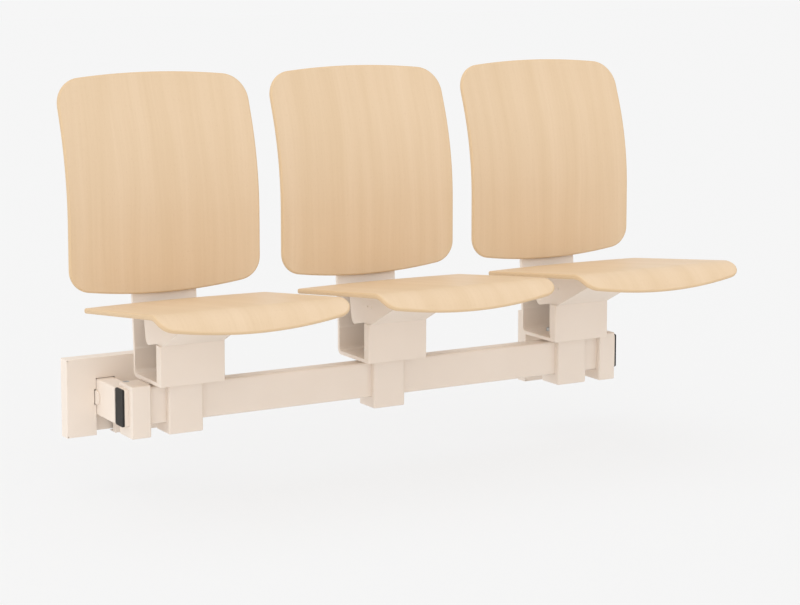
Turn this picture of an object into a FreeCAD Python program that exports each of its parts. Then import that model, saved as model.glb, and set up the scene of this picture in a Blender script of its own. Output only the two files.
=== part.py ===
import FreeCAD, Part
import math
import os

# A beam seat for a wall: tip-up plywood seats with fixed plywood backs on one beam, held by two arms.
# Sizes are in millimetres. X runs along the beam, the wall is the plane Y = 0 and Z points up.
# The origin is in the wall, in the middle of the fixing holes and level with the beam's middle.
# "Forward" is a distance in front of the beam's centre line, "rise" a height above a post's underside.

# Layout
seat_names = ("left", "middle", "right")
seat_pitch = 500.0
wall_to_beam = 155.0

# Beam and its end plugs
beam_overhang = 135.0
beam_height = 80.0
beam_depth = 40.0
beam_wall = 3.0
beam_corner = 5.0
plug_cap = 4.5
plug_reach = 18.0
plug_rounding = 1.0

# Clamps that carry the posts
clamp_width = 80.0
clamp_leg = 14.0
clamp_floor = 24.0
clamp_top = 8.0
clamp_corner = 4.0
clamp_rim = 3.0
clamp_bolt_spacing = 50.0
clamp_thread_depth = 32.0

# Straps that hold the beam ends on the arms
strap_width = 45.0
strap_inset = 10.0
strap_floor = 25.0
strap_thread_depth = 22.0

# Wall arms
arm_width = 42.0
arm_wall = 3.0
arm_corner = 4.0
arm_outset = 6.0
arm_block = 32.0
arm_top_gap = 0.3
arm_wall_gap = 2.0
cross_bolt_reach = 39.0
cross_bolt_radius = 5.0
cross_bolt_head_radius = 15.5
cross_bolt_head = 4.0
cross_bolt_rounding = 1.3
cross_bolt_end = 2.0
cross_nut_flats = 17.0
cross_nut = 8.0

# Wall plates with their spigots and lugs
wall_plate_width = 214.0
wall_plate_bottom = 80.0
wall_plate_thickness = 6.0
fixing_spacing_x = 170.0
fixing_spacing_z = 100.0
fixing_hole_radius = 4.5
spigot_length = 60.0
spigot_wall = 4.0
lug_width = 14.0
lug_depth = 16.0
lug_height = 22.0
lug_spacing = 180.0

# Wall covers
cover_width = 238.0
cover_depth = 33.0
cover_top = 87.0
cover_bottom = 84.5
cover_sheet = 1.5
cover_bend = 2.0
cover_shift = 30.0
cover_return = 16.0
cover_corner_hole = 1.4
cover_screw_radius = 2.0
cover_screw_head_radius = 3.8
cover_screw_head = 2.4
cover_screw_length = 12.0

# Seat posts
post_plate = 8.0
post_rear = 71.5
post_bend = 16.0
post_lower_run = 62.0
post_lean_top = 176.0
post_lean = 9.0
post_top = 344.0
post_lean_rounding = 60.0

# Front trays
tray_front = 71.5
tray_height = 88.0
tray_sheet = 3.5
tray_return = 20.0
tray_bend = 3.0

# Seat hinge
pivot_forward = 27.0
pivot_rise = 112.0
raised_angle = 80.0
hinge_radius = 5.0
hinge_head_radius = 9.0
hinge_head = 6.0
ear_thickness = 8.0
ear_boss_radius = 14.0
ear_rear = 18.0
ear_rear_rise = 84.0
shelf_front = 64.0
shelf_rear = 42.0
shelf_rise = 70.0
shelf_thickness = 6.0
rib_width = 12.0
rib_dip = 30.0
stop_forward = -17.0
stop_depth = 20.0
stop_rise = 52.0
bush_wall = 2.0
bush_flange = 1.6
bush_flange_radius = 10.0
bush_length = 9.5
boss_radius = 12.0
boss_length = 11.0

# Buffers
rest_buffer_radius = 8.0
rest_buffer_spacing = 60.0
rest_buffer_forward = 53.0
raised_buffer_radius = 5.5

# Seat panels
seat_width = 424.0
seat_thickness = 11.0
seat_rear = -38.0
seat_rear_bow = 30.0
seat_rear_rise = 166.0
seat_slope = 6.45
seat_ridge = 336.0
seat_roll = 70.0
seat_front_turn = 66.5
seat_front_bow = 25.0
seat_front_corner = 34.0
seat_rear_corner = 8.0

# Seat carriers
carrier_width = 141.0
carrier_sheet = 2.5
carrier_rear_top = -26.0
carrier_rear_bottom = -12.0
carrier_bottom_rise = 77.0
carrier_corner = 14.0
carrier_lip_rear = 44.0
carrier_lip_front = 76.0
carrier_front = 250.0
carrier_front_slope = 0.496
carrier_flange_width = 11.0
carrier_flange_bottom = 94.0
carrier_flange_top = 140.0
tab_length = 30.0
tab_height = 22.0
tab_thickness = 2.0
tab_forward = 69.0
tab_rise = 128.0
rivet_spacing = 17.0
rivet_radius = 2.0
rivet_head_radius = 3.2
rivet_head = 1.2

# Back panels
back_width = 445.0
back_thickness = 11.0
back_bottom = 178.0
back_top = 652.0
back_top_crown = 14.0
back_bottom_crown = 21.0
back_bottom_corner = 50.0
back_top_corner = 58.0
back_bend_start = 337.0
back_bend_end = 552.0
back_bend_radius = 620.0
back_hollow_radius = 3790.0

# Panel screws and inserts
screw_radius = 3.0
screw_head_radius = 5.5
screw_head = 3.3
screw_grip = 8.0
insert_radius = 5.0
insert_length = 8.5
seat_screw_spacing = 90.0
seat_screw_forwards = (50.0, 190.0)
back_screw_spacing = 100.0
back_screw_rises = (227.0, 317.0)

# Bolts of the clamps and straps
bolt_radius = 4.0
bolt_head_radius = 6.5
bolt_head = 8.0
sunk_head_radius = 8.0
sunk_head = 4.0

# Clearances
beam_clearance = 0.1
plug_clearance = 0.2
spigot_clearance = 0.3
arm_beam_clearance = 0.3
bolt_clearance = 0.3
thread_clearance = 0.02
running_clearance = 0.05
side_clearance = 0.4
buffer_clearance = 0.3
bolt_end_clearance = 1.0
hole_end_clearance = 0.5
panel_clearance = 0.3
tray_clearance = 1.0
lip_clearance = 0.6
notch_clearance = 1.0
notch_top_clearance = 1.5
relief_clearance = 1.5
cover_clearance = 0.3
head_clearance = 0.5
past = 1.0

# Sizes that follow from the ones above
beam_length = (len(seat_names) - 1) * seat_pitch + 2 * beam_overhang
half_beam = beam_height / 2
half_depth = beam_depth / 2
clamp_reach = half_depth + clamp_leg
clamp_bottom = -(half_beam + clamp_floor)
post_base = half_beam + clamp_top
arm_top = half_beam - arm_top_gap
strap_bottom = -(half_beam + strap_floor)
arm_bottom = -half_beam
arm_middle = (arm_top + arm_bottom) / 2
arm_outer = beam_length / 2 + arm_outset
arm_inner = arm_outer - arm_width
strap_outer = beam_length / 2 - strap_inset
strap_inner = strap_outer - strap_width
cover_middle = (arm_outer + arm_inner) / 2 - cover_shift
cover_inner = cover_middle - cover_width / 2
cover_outer = cover_middle + cover_width / 2
seat_grade = math.tan(math.radians(seat_slope))
seat_cosine = math.cos(math.radians(seat_slope))
carrier_half = carrier_width / 2
carrier_inside = carrier_half - carrier_sheet
post_width = carrier_width + 2 * (tray_clearance + tray_sheet)
carrier_lip_rise = tray_height + lip_clearance
boss_inner = carrier_inside - boss_length
ear_outer = boss_inner - bush_flange - side_clearance
bush_radius = hinge_radius + running_clearance + bush_wall
seat_middles = [(index - (len(seat_names) - 1) / 2) * seat_pitch for index in range(len(seat_names))]
both_sides = (-1.0, 1.0)


# Helpers
def vec(x, forward, z):
    """Point at X, a forward distance and a height Z."""
    return FreeCAD.Vector(x, -(wall_to_beam + forward), z)


def block(x0, x1, forward0, forward1, z0, z1):
    """Box between two X values, two forward distances and two heights."""
    corner = vec(min(x0, x1), max(forward0, forward1), min(z0, z1))
    return Part.makeBox(abs(x1 - x0), abs(forward1 - forward0), abs(z1 - z0), corner)


def rod(radius, start, end):
    """Round bar between two points."""
    along = end.sub(start)
    return Part.makeCylinder(radius, along.Length, start, along)


def outline(points, radii):
    """Flat face through the points, each corner rounded by its radius."""
    edges = []
    starts = []
    ends = []
    middles = []
    count = len(points)
    for index in range(count):
        corner = points[index]
        before = points[index - 1].sub(corner).normalize()
        after = points[(index + 1) % count].sub(corner).normalize()
        half = before.getAngle(after) / 2
        radius = radii[index]
        starts.append(corner + before * (radius / math.tan(half)))
        ends.append(corner + after * (radius / math.tan(half)))
        inward = (before + after).normalize()
        middles.append(corner + inward * (radius / math.sin(half) - radius))
    for index in range(count):
        if radii[index] > 0:
            edges.append(Part.Arc(starts[index], middles[index], ends[index]).toShape())
        edges.append(Part.makeLine(ends[index], starts[(index + 1) % count]))
    return Part.Face(Part.Wire(edges))


def profile(points, radii, x0, x1):
    """Solid whose side view is the points, given as forward and Z, between two X values."""
    face = outline([vec(x0, forward, z) for forward, z in points], radii)
    return face.extrude(FreeCAD.Vector(x1 - x0, 0, 0))


def rounded_block(x0, x1, forward0, forward1, z0, z1, radius):
    """Box with rounded upright edges."""
    corners = [(x0, forward0), (x1, forward0), (x1, forward1), (x0, forward1)]
    face = outline([vec(x, forward, z0) for x, forward in corners], [radius] * 4)
    return face.extrude(FreeCAD.Vector(0, 0, z1 - z0))


def rounded_bar(x0, x1, forward0, forward1, z0, z1, radius):
    """Box with rounded edges along X."""
    points = [(forward0, z0), (forward1, z0), (forward1, z1), (forward0, z1)]
    return profile(points, [radius] * 4, x0, x1)


def rounded_arm(x0, x1, forward0, forward1, z0, z1, radius):
    """Box with rounded edges along Y."""
    corners = [(x0, z0), (x1, z0), (x1, z1), (x0, z1)]
    face = outline([vec(x, forward0, z) for x, z in corners], [radius] * 4)
    return face.extrude(FreeCAD.Vector(0, forward0 - forward1, 0))


def edges_where(shape, test):
    """Edges whose end points all pass a test."""
    return [edge for edge in shape.Edges if all(test(vertex.Point) for vertex in edge.Vertexes)]


def cut_all(shape, tools):
    """Shape with every tool cut away."""
    for tool in tools:
        shape = shape.cut(tool)
    return shape


def hexagon(flats, start, end):
    """Six-sided bar along X between two points, with two flats level."""
    radius = flats / math.sqrt(3)
    turns = [math.radians(60 * step) for step in range(6)]
    points = [start + FreeCAD.Vector(0, radius * math.cos(turn), radius * math.sin(turn)) for turn in turns]
    return outline(points, [0.0] * 6).extrude(end.sub(start))


def forward_of_wall(distance):
    """Forward distance of a plane that stands off the wall."""
    return distance - wall_to_beam


def to_side(shape, side):
    """Shape modelled on the right, or its mirror image on the left."""
    if side > 0:
        return shape
    return shape.mirror(FreeCAD.Vector(0, 0, 0), FreeCAD.Vector(1, 0, 0))


def moved(shape, x):
    """Copy of a shape moved along X."""
    copy = shape.copy()
    copy.translate(FreeCAD.Vector(x, 0, 0))
    return copy


# Beam, plugs, clamps
def beam_tube():
    half = beam_length / 2
    outside = rounded_bar(-half, half, -half_depth, half_depth, -half_beam, half_beam, beam_corner)
    wide = half_depth - beam_wall
    tall = half_beam - beam_wall
    inside = rounded_bar(-half - past, half + past, -wide, wide, -tall, tall, beam_corner - beam_wall)
    return outside.cut(inside)


def end_plug():
    end = beam_length / 2
    cap = rounded_bar(end, end + plug_cap, -half_depth, half_depth, -half_beam, half_beam, beam_corner)
    rim = edges_where(cap, lambda point: point.x > end + plug_cap - past / 2)
    cap = cap.makeFillet(plug_rounding, rim)
    wide = half_depth - beam_wall - plug_clearance
    tall = half_beam - beam_wall - plug_clearance
    body = rounded_bar(end - plug_reach, end, -wide, wide, -tall, tall, beam_corner - beam_wall)
    return cap.fuse(body).removeSplitter()


def clamp_bolt_points():
    """Places of a clamp's bolts as X and forward."""
    forward = half_depth + clamp_leg / 2
    return [(x * clamp_bolt_spacing / 2, y * forward) for x in both_sides for y in both_sides]


def clamp_saddle():
    half = clamp_width / 2
    body = rounded_block(-half, half, -clamp_reach, clamp_reach, clamp_bottom, half_beam, clamp_corner)
    lower_rim = edges_where(body, lambda point: point.z < clamp_bottom + past / 2)
    body = body.makeFillet(clamp_rim, lower_rim)
    channel = half_depth + beam_clearance
    floor = -half_beam - beam_clearance
    tools = [block(-half - past, half + past, -channel, channel, floor, half_beam + past)]
    for x, forward in clamp_bolt_points():
        low = vec(x, forward, half_beam - clamp_thread_depth - bolt_end_clearance)
        tools.append(rod(bolt_radius + thread_clearance, low, vec(x, forward, post_base)))
    return cut_all(body, tools)


def clamp_plate():
    half = clamp_width / 2
    body = rounded_block(-half, half, -clamp_reach, clamp_reach, half_beam, post_base, clamp_corner)
    holes = [
        rod(bolt_radius + bolt_clearance, vec(x, forward, 0.0), vec(x, forward, post_base + past))
        for x, forward in clamp_bolt_points()
    ]
    return cut_all(body, holes)


def clamp_bolt(x, forward):
    seat = post_base + post_plate
    shank = rod(bolt_radius, vec(x, forward, half_beam - clamp_thread_depth), vec(x, forward, seat))
    head = rod(bolt_head_radius, vec(x, forward, seat), vec(x, forward, seat + bolt_head))
    return shank.fuse(head).removeSplitter()


# Straps, arms and wall units, modelled on the right
strap_bolt_x = (arm_inner + strap_outer) / 2
strap_bolt_forward = -(half_depth + clamp_leg / 2)
sunk_bolt_end = arm_top - strap_thread_depth
cap_bolt_seat = strap_bottom + bolt_head + head_clearance
cap_bolt_end = arm_bottom + strap_thread_depth
cover_screw_end = cover_screw_length - cover_bottom


def strap_bolt_line(z0, z1, radius):
    """Round bar on the line of the strap bolts."""
    return rod(radius, vec(strap_bolt_x, strap_bolt_forward, z0), vec(strap_bolt_x, strap_bolt_forward, z1))


def sunk_cone(extra):
    """Cone of the countersunk head, grown all round by an extra distance."""
    low = vec(strap_bolt_x, strap_bolt_forward, post_base - sunk_head)
    upward = FreeCAD.Vector(0, 0, 1)
    return Part.makeCone(bolt_radius + extra, sunk_head_radius + extra, sunk_head, low, upward)


def end_strap():
    reach = clamp_reach
    body = rounded_block(strap_inner, strap_outer, -reach, reach, strap_bottom, post_base, clamp_corner)
    rims = edges_where(body, lambda point: point.z < strap_bottom + past / 2)
    rims += edges_where(body, lambda point: point.z > post_base - past / 2)
    body = body.makeFillet(clamp_rim, rims)
    channel = half_depth + beam_clearance
    low = -half_beam - beam_clearance
    high = half_beam + beam_clearance
    side = strap_inner - past
    other = strap_outer + past
    tools = [
        block(side, other, -channel, channel, low, high),
        block(side, other, -reach - past, 0.0, low, high),
        strap_bolt_line(half_beam, post_base + past, bolt_radius + bolt_clearance),
        sunk_cone(thread_clearance),
        strap_bolt_line(strap_bottom - past, cap_bolt_seat, bolt_head_radius + head_clearance),
        strap_bolt_line(strap_bottom, arm_bottom, bolt_radius + bolt_clearance),
    ]
    return cut_all(body, tools)


def strap_top_bolt():
    shank = strap_bolt_line(sunk_bolt_end, post_base - sunk_head, bolt_radius)
    return shank.fuse(sunk_cone(0.0)).removeSplitter()


def strap_low_bolt():
    shank = strap_bolt_line(cap_bolt_seat, cap_bolt_end, bolt_radius)
    head = strap_bolt_line(cap_bolt_seat - bolt_head, cap_bolt_seat, bolt_head_radius)
    return shank.fuse(head).removeSplitter()


def cross_line(x0, x1, radius):
    """Round bar on the line of the arm's cross bolt."""
    forward = forward_of_wall(cross_bolt_reach)
    return rod(radius, vec(x0, forward, arm_middle), vec(x1, forward, arm_middle))


def wall_arm():
    rear = forward_of_wall(wall_plate_thickness + arm_wall_gap)
    front = -(half_depth + arm_beam_clearance)
    body = rounded_arm(arm_inner, arm_outer, rear, front, arm_bottom, arm_top, arm_corner)
    hollow = block(
        arm_inner + arm_wall,
        arm_outer - arm_wall,
        rear - past,
        front - arm_block,
        arm_bottom + arm_wall,
        arm_top - arm_wall,
    )
    thread = bolt_radius + thread_clearance
    tools = [
        hollow,
        cross_line(arm_inner - past, arm_outer + past, cross_bolt_radius + bolt_clearance),
        strap_bolt_line(sunk_bolt_end - bolt_end_clearance, arm_top + past, thread),
        strap_bolt_line(arm_bottom - past, cap_bolt_end + bolt_end_clearance, thread),
    ]
    return cut_all(body, tools)


def cross_bolt():
    end = arm_inner - cross_nut - cross_bolt_end
    shank = cross_line(end, arm_outer, cross_bolt_radius)
    head = cross_line(arm_outer, arm_outer + cross_bolt_head, cross_bolt_head_radius)
    rim = edges_where(head, lambda point: point.x > arm_outer + cross_bolt_head / 2)
    head = head.makeFillet(cross_bolt_rounding, [edge for edge in rim if edge.Closed])
    return shank.fuse(head).removeSplitter()


def cross_bolt_nut():
    forward = forward_of_wall(cross_bolt_reach)
    start = vec(arm_inner - cross_nut, forward, arm_middle)
    body = hexagon(cross_nut_flats, start, vec(arm_inner, forward, arm_middle))
    thread = cross_line(arm_inner - cross_nut - past, arm_inner + past, cross_bolt_radius + thread_clearance)
    return body.cut(thread)


def lug_middles():
    """X of a cover's two screws."""
    return [cover_middle + side * lug_spacing / 2 for side in both_sides]


def wall_plate():
    face = forward_of_wall(wall_plate_thickness)
    left = cover_middle - wall_plate_width / 2
    right = cover_middle + wall_plate_width / 2
    top = cover_top - cover_sheet - cover_clearance
    body = block(left, right, forward_of_wall(0.0), face, -wall_plate_bottom, top)
    gap = arm_wall + spigot_clearance
    ring = gap + spigot_wall
    tip = face + spigot_length
    tube = block(arm_inner + gap, arm_outer - gap, face, tip, arm_bottom + gap, arm_top - gap)
    core = block(arm_inner + ring, arm_outer - ring, face, tip + past, arm_bottom + ring, arm_top - ring)
    body = body.fuse(tube.cut(core))
    lug_low = -cover_bottom + cover_sheet + cover_clearance
    lug_front = face + lug_depth
    for x in lug_middles():
        half = lug_width / 2
        body = body.fuse(block(x - half, x + half, face, lug_front, lug_low, lug_low + lug_height))
    tools = [cross_line(arm_inner, arm_outer, cross_bolt_radius + bolt_clearance)]
    for x_side in both_sides:
        for z_side in both_sides:
            x = cover_middle + x_side * fixing_spacing_x / 2
            z = z_side * fixing_spacing_z / 2
            tools.append(rod(fixing_hole_radius, vec(x, forward_of_wall(-past), z), vec(x, face + past, z)))
    hole_top = cover_screw_end + hole_end_clearance
    for x in lug_middles():
        tools.append(cover_screw_line(x, -cover_bottom, hole_top, cover_screw_radius + thread_clearance))
    return cut_all(body.removeSplitter(), tools)


def cover_screw_line(x, z0, z1, radius):
    """Round bar on the line of a cover screw."""
    forward = forward_of_wall(wall_plate_thickness + lug_depth / 2)
    return rod(radius, vec(x, forward, z0), vec(x, forward, z1))


def cover_screw(x):
    shank = cover_screw_line(x, -cover_bottom, cover_screw_end, cover_screw_radius)
    head = cover_screw_line(x, -cover_bottom - cover_screw_head, -cover_bottom, cover_screw_head_radius)
    return shank.fuse(head).removeSplitter()


def wall_cover():
    rear = forward_of_wall(cover_clearance)
    front = forward_of_wall(cover_depth)
    skin = cover_sheet
    body = block(cover_inner, cover_outer, rear, front, -cover_bottom, cover_top)
    rim = edges_where(body, lambda point: point.y < past / 2 - cover_depth)
    body = body.makeFillet(cover_bend, rim)
    inside = block(
        cover_inner + skin,
        cover_outer - skin,
        rear - past,
        front - skin,
        skin - cover_bottom,
        cover_top - skin,
    )
    body = body.cut(inside)
    notch_low = arm_inner - notch_clearance
    notch_high = arm_outer + notch_clearance
    notch_top = arm_top + notch_top_clearance
    deep = front - cover_return
    below = -cover_bottom
    notch_walls = block(notch_low - skin, notch_high + skin, deep, front, below, notch_top + skin)
    notch = block(notch_low, notch_high, rear - past, front + past, below - past, notch_top)
    body = body.fuse(notch_walls).removeSplitter().cut(notch)
    head = cross_bolt_head_radius + relief_clearance
    head_end = arm_outer + cross_bolt_head + relief_clearance
    nut = cross_nut_flats / 2 + relief_clearance
    nut_end = arm_inner - cross_nut - cross_bolt_end - relief_clearance
    tools = [
        block(arm_outer, head_end, deep - past, front + past, arm_middle - head, arm_middle + head),
        block(nut_end, arm_inner, deep - past, front + past, arm_middle - nut, arm_middle + nut),
    ]
    corner_inset = cover_corner_hole + skin
    for x in (cover_inner + corner_inset, cover_outer - corner_inset):
        for z in (corner_inset - cover_bottom, cover_top - corner_inset):
            tools.append(rod(cover_corner_hole, vec(x, front - skin - past, z), vec(x, front + past, z)))
    for x in lug_middles():
        hole_top = skin + past - cover_bottom
        tools.append(cover_screw_line(x, below - past, hole_top, cover_screw_radius + bolt_clearance))
    return cut_all(body, tools)


# Seat unit, modelled at X = 0
def unit(forward, rise):
    """Side-view point of the seat unit as forward and Z."""
    return (forward, post_base + rise)


def seat_post():
    half = post_width / 2
    front = tray_front - tray_sheet
    rear = -post_rear
    points = [
        unit(front, 0.0),
        unit(rear, 0.0),
        unit(rear, post_lower_run),
        unit(rear - post_lean, post_lean_top),
        unit(rear - post_lean, post_top),
        unit(rear - post_lean + post_plate, post_top),
        unit(rear - post_lean + post_plate, post_lean_top),
        unit(rear + post_plate, post_lower_run),
        unit(rear + post_plate, post_plate),
        unit(front, post_plate),
    ]
    soft = post_lean_rounding
    radii = [0.0, post_bend, soft, soft, 0.0, 0.0, soft, soft, post_bend - post_plate, 0.0]
    body = profile(points, radii, -half, half)
    holes = []
    for x, forward in clamp_bolt_points():
        low = vec(x, forward, half_beam)
        holes.append(rod(bolt_radius + bolt_clearance, low, vec(x, forward, post_base + post_plate + past)))
    for x, rise in back_screw_points():
        z = post_base + rise
        start = vec(x, rear - post_lean - past, z)
        holes.append(rod(screw_radius + bolt_clearance, start, vec(x, rear, z)))
    return cut_all(body, holes)


def front_tray():
    half = post_width / 2
    inner = half - tray_sheet
    back = tray_front - tray_return
    top = post_base + tray_height
    web = block(-half, half, tray_front - tray_sheet, tray_front, post_base, top)
    floor = post_base + post_plate
    for side in both_sides:
        web = web.fuse(block(side * inner, side * half, back, tray_front - tray_sheet, floor, top))
    body = web.removeSplitter()
    corner_y = -(wall_to_beam + tray_front)
    bends = [
        edge
        for edge in edges_where(body, lambda point: abs(point.y - corner_y) < past / 2)
        if abs(edge.Vertexes[0].X - edge.Vertexes[1].X) < past and abs(edge.Vertexes[0].X) > inner
    ]
    return body.makeFillet(tray_bend, bends)


def ear_profile():
    """Side view of a hinge ear below its round top, as forward and Z."""
    return [
        unit(ear_rear, post_plate),
        unit(shelf_front, post_plate),
        unit(shelf_front, shelf_rise),
        unit(shelf_rear, shelf_rise),
        unit(pivot_forward + ear_boss_radius, pivot_rise),
        unit(pivot_forward - ear_boss_radius, pivot_rise),
        unit(ear_rear, ear_rear_rise),
    ]


def rib_profile():
    """Side view of the middle rib that carries the shelf and the raised stop, as forward and Z."""
    stop_rear = stop_forward - stop_depth / 2
    stop_front = stop_forward + stop_depth / 2
    return [
        unit(stop_rear, post_plate),
        unit(shelf_front, post_plate),
        unit(shelf_front, shelf_rise),
        unit(shelf_rear, shelf_rise),
        unit(stop_front, rib_dip),
        unit(stop_front, stop_rise),
        unit(stop_rear, stop_rise),
    ]


def hinge_line(x0, x1, radius):
    """Round bar on the seat's hinge axis."""
    z = post_base + pivot_rise
    return rod(radius, vec(x0, pivot_forward, z), vec(x1, pivot_forward, z))


def hinge_stand():
    inner = ear_outer - ear_thickness
    shelf_low = post_base + shelf_rise - shelf_thickness
    shelf_top = post_base + shelf_rise
    shelf = block(-inner, inner, shelf_rear, shelf_front, shelf_low, shelf_top)
    rib_points = rib_profile()
    rib = profile(rib_points, [0.0] * len(rib_points), -rib_width / 2, rib_width / 2)
    body = shelf.fuse(rib)
    for side in both_sides:
        near = side * inner
        far = side * ear_outer
        points = ear_profile()
        ear = profile(points, [0.0] * len(points), min(near, far), max(near, far))
        ear = ear.fuse(hinge_line(near, far, ear_boss_radius))
        body = body.fuse(ear)
    body = body.removeSplitter()
    return body.cut(hinge_line(-ear_outer - past, ear_outer + past, hinge_radius + thread_clearance))


def hinge_bolt(side):
    inner = ear_outer - ear_thickness
    end = boss_inner + bush_length - bolt_end_clearance
    shank = hinge_line(side * inner, side * end, hinge_radius)
    head = hinge_line(side * (inner - hinge_head), side * inner, hinge_head_radius)
    return shank.fuse(head).removeSplitter()


def hinge_bush(side):
    end = boss_inner + bush_length
    sleeve = hinge_line(side * boss_inner, side * end, bush_radius)
    flange = hinge_line(side * (boss_inner - bush_flange), side * boss_inner, bush_flange_radius)
    bore = hinge_line(side * ear_outer, side * (end + past), hinge_radius + running_clearance)
    return sleeve.fuse(flange).removeSplitter().cut(bore)


def hinge_boss(side):
    ring = hinge_line(side * boss_inner, side * carrier_inside, boss_radius)
    bore = hinge_line(side * ear_outer, side * carrier_half, bush_radius + thread_clearance)
    return ring.cut(bore)


def rest_buffer(side):
    x = side * rest_buffer_spacing / 2
    low = vec(x, rest_buffer_forward, post_base + shelf_rise)
    top = vec(x, rest_buffer_forward, post_base + carrier_lip_rise - buffer_clearance)
    return rod(rest_buffer_radius, low, top)


def raised(forward, rise):
    """Where a point of the seat goes when the seat is fully raised, as forward and rise."""
    turn = math.radians(raised_angle)
    ahead = forward - pivot_forward
    above = rise - pivot_rise
    up = ahead * math.sin(turn) + above * math.cos(turn)
    out = ahead * math.cos(turn) - above * math.sin(turn)
    return (pivot_forward + out, pivot_rise + up)


def raised_buffer_top():
    """Lowest rise of the raised carrier's rear strip over the buffer, less the clearance."""
    low = raised(carrier_rear_bottom, carrier_bottom_rise)
    high = raised(carrier_rear_top, seat_under(carrier_rear_top))
    grade = (high[1] - low[1]) / (high[0] - low[0])
    ends = [stop_forward - raised_buffer_radius, stop_forward + raised_buffer_radius]
    return min(low[1] + grade * (end - low[0]) for end in ends) - buffer_clearance


def raised_buffer():
    low = vec(0.0, stop_forward, post_base + stop_rise)
    return rod(raised_buffer_radius, low, vec(0.0, stop_forward, post_base + raised_buffer_top()))


# Seat panel and carrier
def seat_top(forward):
    """Rise of the seat's flat upper face."""
    return seat_rear_rise + seat_grade * (forward - seat_rear)


def seat_under(forward):
    """Rise of the seat's flat lower face."""
    return seat_top(forward) - seat_thickness / seat_cosine


def seat_normal():
    """Unit vector out of the seat's flat upper face."""
    slope = math.radians(seat_slope)
    return FreeCAD.Vector(0, math.sin(slope), math.cos(slope))


def roll_point(x, radius, turn):
    """Point of the rolled front edge at an angle forward of upright."""
    slope = math.radians(seat_slope)
    centre_forward = seat_ridge + seat_roll * math.sin(slope)
    centre_rise = seat_top(seat_ridge) - seat_roll * math.cos(slope)
    forward = centre_forward + radius * math.sin(turn)
    return vec(x, forward, post_base + centre_rise + radius * math.cos(turn))


def seat_sheet():
    """Bent sheet of the seat before its outline is cut."""
    half = seat_width / 2 + past
    rear = seat_rear - seat_rear_corner
    flat = -math.radians(seat_slope)
    end = math.radians(90.0)
    middle = (flat + end) / 2
    inner = seat_roll - seat_thickness
    start_top = vec(-half, rear, post_base + seat_top(rear))
    start_under = start_top - seat_normal() * seat_thickness
    edges = [
        Part.makeLine(start_top, roll_point(-half, seat_roll, flat)),
        Part.Arc(
            roll_point(-half, seat_roll, flat),
            roll_point(-half, seat_roll, middle),
            roll_point(-half, seat_roll, end),
        ).toShape(),
        Part.makeLine(roll_point(-half, seat_roll, end), roll_point(-half, inner, end)),
        Part.Arc(
            roll_point(-half, inner, end),
            roll_point(-half, inner, middle),
            roll_point(-half, inner, flat),
        ).toShape(),
        Part.makeLine(roll_point(-half, inner, flat), start_under),
        Part.makeLine(start_under, start_top),
    ]
    return Part.Face(Part.Wire(edges)).extrude(FreeCAD.Vector(2 * half, 0, 0))


def seat_plan():
    """Upright block with the seat's sides and bowed rear edge, open past its front."""
    half = seat_width / 2
    rear_side = seat_rear + seat_rear_bow
    ahead = seat_ridge + 2 * seat_roll
    edges = [
        Part.makeLine(vec(-half, rear_side, 0.0), vec(-half, ahead, 0.0)),
        Part.makeLine(vec(-half, ahead, 0.0), vec(half, ahead, 0.0)),
        Part.makeLine(vec(half, ahead, 0.0), vec(half, rear_side, 0.0)),
        Part.Arc(vec(half, rear_side, 0.0), vec(0.0, seat_rear, 0.0), vec(-half, rear_side, 0.0)).toShape(),
    ]
    body = Part.Face(Part.Wire(edges)).extrude(FreeCAD.Vector(0, 0, post_base + 2 * seat_rear_rise))
    ahead_y = vec(0.0, seat_ridge, 0.0).y
    rear_edges = [
        edge
        for edge in body.Edges
        if abs(edge.Vertexes[0].Z - edge.Vertexes[-1].Z) > past and edge.Vertexes[0].Y > ahead_y
    ]
    return body.makeFillet(seat_rear_corner, rear_edges)


def seat_front_trim():
    """What lies outside the bowed and rounded front edge, cut square to the rolled sheet."""
    turn = math.radians(seat_front_turn)
    outward = FreeCAD.Vector(0, -math.sin(turn), math.cos(turn))
    onward = FreeCAD.Vector(0, -math.cos(turn), -math.sin(turn))
    start = roll_point(0.0, seat_roll, turn) - outward * seat_roll
    half = seat_width / 2
    back = -(seat_front_bow + 2 * seat_front_corner)

    def place(x, along):
        return start + FreeCAD.Vector(x, 0, 0) + onward * along

    left = place(-half, -seat_front_bow)
    right = place(half, -seat_front_bow)
    edges = [
        Part.makeLine(place(-half, back), left),
        Part.Arc(left, place(0.0, 0.0), right).toShape(),
        Part.makeLine(right, place(half, back)),
        Part.makeLine(place(half, back), place(-half, back)),
    ]
    inside = Part.Face(Part.Wire(edges)).extrude(outward * 2 * seat_roll)
    corners = [
        edge
        for edge in inside.Edges
        if edge.Vertexes[0].Point.sub(edge.Vertexes[-1].Point).cross(outward).Length < past
        and min((edge.Vertexes[0].Point.sub(start)).dot(onward), 0.0) > back / 2
    ]
    inside = inside.makeFillet(seat_front_corner, corners)
    wide = half + past
    around = [place(-wide, back), place(wide, back), place(wide, seat_roll), place(-wide, seat_roll)]
    return outline(around, [0.0] * 4).extrude(outward * 2 * seat_roll).cut(inside)


def seat_screw_points():
    """Points on the seat's lower face where its screws go in."""
    points = []
    for x_side in both_sides:
        for forward in seat_screw_forwards:
            x = x_side * seat_screw_spacing / 2
            points.append(vec(x, forward, post_base + seat_under(forward)))
    return points


def seat_panel():
    body = seat_sheet().common(seat_plan()).cut(seat_front_trim())
    holes = []
    for point in seat_screw_points():
        start = point - seat_normal() * past
        end = point + seat_normal() * (insert_length + hole_end_clearance)
        holes.append(rod(insert_radius + thread_clearance, start, end))
    return cut_all(body, holes)


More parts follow.
